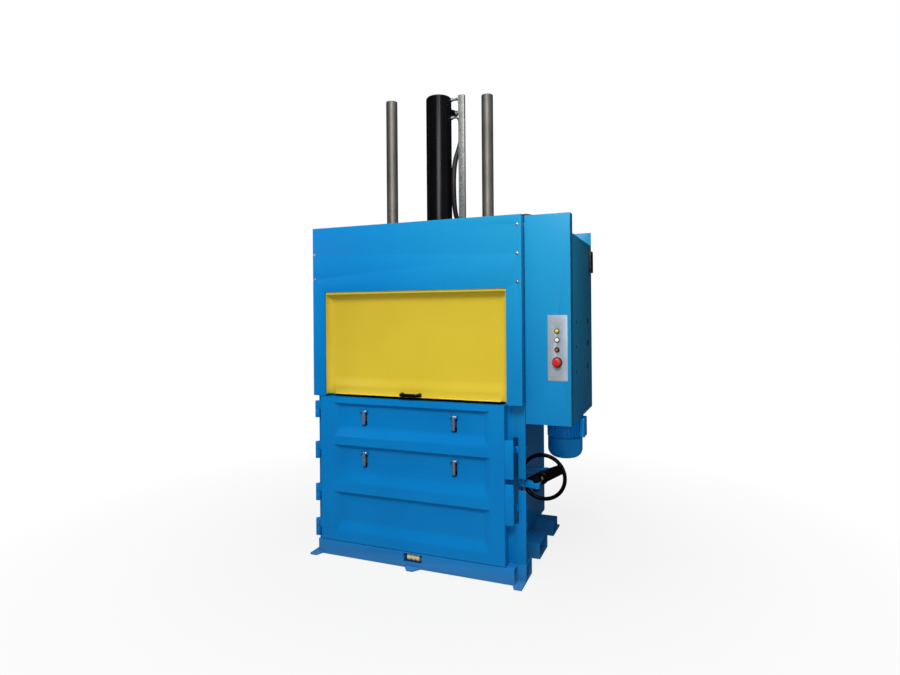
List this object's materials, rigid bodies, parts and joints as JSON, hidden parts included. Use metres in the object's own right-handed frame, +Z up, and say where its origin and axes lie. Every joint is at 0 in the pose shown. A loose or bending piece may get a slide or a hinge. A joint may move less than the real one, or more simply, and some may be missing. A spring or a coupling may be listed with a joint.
{
  "type": "vertical recycling baler",
  "caption": "Upright waste baler: a hydraulic platen presses material in a steel chamber behind a lifting guard and a side-hung door that a handwheel locks with claws.",
  "frame": {"origin": "on the floor at the centre of the corner anchor holes, under the press axis", "axes": "+X to the right along the front, +Y from the door to the rear wall, +Z up"},
  "size_m": [1.716, 1.113, 3.085],
  "materials": {
    "blue_paint": "satin powder coat",
    "yellow_paint": "satin powder coat",
    "black_paint": "semi-gloss enamel",
    "ground_steel": "ground and polished",
    "zinc_steel": "zinc plated",
    "galvanised_steel": "galvanised",
    "bronze": "machined bronze",
    "hose_rubber": "smooth",
    "nylon": "turned",
    "black_plastic": "fine grain",
    "grey_paint": "matt",
    "dark_paint": "matt",
    "yellow_lens": "clear moulding",
    "white_plastic": "moulded",
    "red_plastic": "moulded"
  },
  "bodies": {
    "frame": {"base_beams": "blue_paint", "anchor_lugs": "blue_paint", "front_sill": "blue_paint", "roller_pin": "zinc_steel", "chamber_plates": "blue_paint", "front_flanges": "blue_paint", "rear_posts": "blue_paint", "crosshead": "blue_paint", "guide_bushes": "bronze", "cylinder_barrel": "black_paint", "cylinder_gland": "bronze", "flange_bolts": "zinc_steel", "hose_rail": "galvanised_steel", "rail_studs": "zinc_steel", "hoses": "hose_rubber", "hose_fittings": "zinc_steel", "front_cover": "blue_paint", "cover_screws": "zinc_steel", "guard_rails": "blue_paint", "frame_hinges": "blue_paint", "hinge_pins": "zinc_steel", "lock_bearings": "blue_paint", "spindle_bracket": "blue_paint", "cabinet_front": "blue_paint", "cabinet_box": "blue_paint", "cabinet_brackets": "blue_paint", "cabinet_fittings": "black_plastic", "control_plate": "grey_paint", "control_bezels": "black_plastic", "indicator_lamp": "yellow_lens", "motor_body": "blue_paint", "fan_cover": "blue_paint", "terminal_box": "blue_paint", "power_pack": "dark_paint"},
    "platen": {"platen": "blue_paint", "piston_rod": "ground_steel", "guide_columns": "ground_steel"},
    "guard": {"guard_panel": "yellow_paint", "guard_shoes": "black_plastic", "guard_handle": "black_plastic"},
    "door": {"door_shell": "blue_paint", "dog_lugs": "blue_paint", "dog_pins": "zinc_steel", "lock_plates": "blue_paint", "door_hinges": "blue_paint"},
    "dog_upper_left": {"dog_1": "zinc_steel"},
    "dog_upper_right": {"dog_2": "zinc_steel"},
    "dog_lower_left": {"dog_3": "zinc_steel"},
    "dog_lower_right": {"dog_4": "zinc_steel"},
    "lock_shaft": {"lock_shaft": "zinc_steel", "lock_claws": "zinc_steel", "lock_arm": "zinc_steel"},
    "clevis": {"lock_clevis": "zinc_steel"},
    "wheel": {"spindle": "zinc_steel", "handwheel": "black_paint"},
    "roller": {"chain_roller": "nylon"},
    "rotor": {"motor_rotor": "ground_steel"},
    "start": {"start_button": "white_plastic"},
    "selector": {"selector": "black_plastic"},
    "stop": {"stop_button": "red_plastic"}
  },
  "joints": [
    {"name": "platen_stroke", "type": "slide", "parent": "frame", "child": "platen", "axis": [0, 0, -1], "range_m": [0, 0.88]},
    {"name": "guard_lift", "type": "slide", "parent": "frame", "child": "guard", "axis": [0, 0, 1], "range_m": [0, 0.62]},
    {"name": "door_swing", "type": "hinge", "parent": "frame", "child": "door", "pos_m": [-0.7, -0.463, 0.55], "axis": [0, 0, -1], "range_deg": [0, 130]},
    {"name": "dog_upper_left_swing", "type": "hinge", "parent": "door", "child": "dog_upper_left", "pos_m": [-0.337, -0.479, 0.952], "axis": [-1, 0, 0], "range_deg": [0, 28], "stiffness_Nm_per_rad": 0.8, "springref_deg": -34.38},
    {"name": "dog_upper_right_swing", "type": "hinge", "parent": "door", "child": "dog_upper_right", "pos_m": [0.284, -0.479, 0.952], "axis": [-1, 0, 0], "range_deg": [0, 28], "stiffness_Nm_per_rad": 0.8, "springref_deg": -34.38},
    {"name": "dog_lower_left_swing", "type": "hinge", "parent": "door", "child": "dog_lower_left", "pos_m": [-0.337, -0.479, 0.684], "axis": [-1, 0, 0], "range_deg": [0, 28], "stiffness_Nm_per_rad": 0.8, "springref_deg": -34.38},
    {"name": "dog_lower_right_swing", "type": "hinge", "parent": "door", "child": "dog_lower_right", "pos_m": [0.284, -0.479, 0.684], "axis": [-1, 0, 0], "range_deg": [0, 28], "stiffness_Nm_per_rad": 0.8, "springref_deg": -34.38},
    {"name": "lock_turn", "type": "hinge", "parent": "frame", "child": "lock_shaft", "pos_m": [0.68, -0.358, 0.565], "axis": [0, 0, 1], "range_deg": [-14.2, 0.2]},
    {"name": "spindle_feed", "type": "slide", "parent": "frame", "child": "clevis", "axis": [0, -1, 0], "range_m": [0, 0.0263]},
    {"name": "wheel_turn", "type": "hinge", "parent": "clevis", "child": "wheel", "pos_m": [0.765, -0.2, 0.565], "axis": [0, -1, 0], "range_deg": [0, 1881.5]},
    {"name": "roller_spin", "type": "hinge", "parent": "frame", "child": "roller", "pos_m": [0.007, -0.465, 0.062], "axis": [1, 0, 0], "continuous": true},
    {"name": "motor_spin", "type": "hinge", "parent": "frame", "child": "rotor", "pos_m": [0.861, 0.022, 0.8], "axis": [0, 0, 1], "continuous": true},
    {"name": "start_press", "type": "slide", "parent": "frame", "child": "start", "axis": [0, 1, 0], "range_m": [0, 0.004], "stiffness_N_per_m": 400, "springref_m": -0.002},
    {"name": "selector_turn", "type": "hinge", "parent": "frame", "child": "selector", "pos_m": [0.905, -0.428, 1.367], "axis": [0, 1, 0], "range_deg": [-45, 45]},
    {"name": "stop_press", "type": "slide", "parent": "frame", "child": "stop", "axis": [0, 1, 0], "range_m": [0, 0.004], "stiffness_N_per_m": 900, "springref_m": -0.002}
  ],
  "couplings": [
    {"joint": "spindle_feed", "follows": "wheel_turn", "m_per_rad": 0.00079577},
    {"joint": "lock_turn", "follows": "wheel_turn", "ratio": -0.0074409}
  ]
}
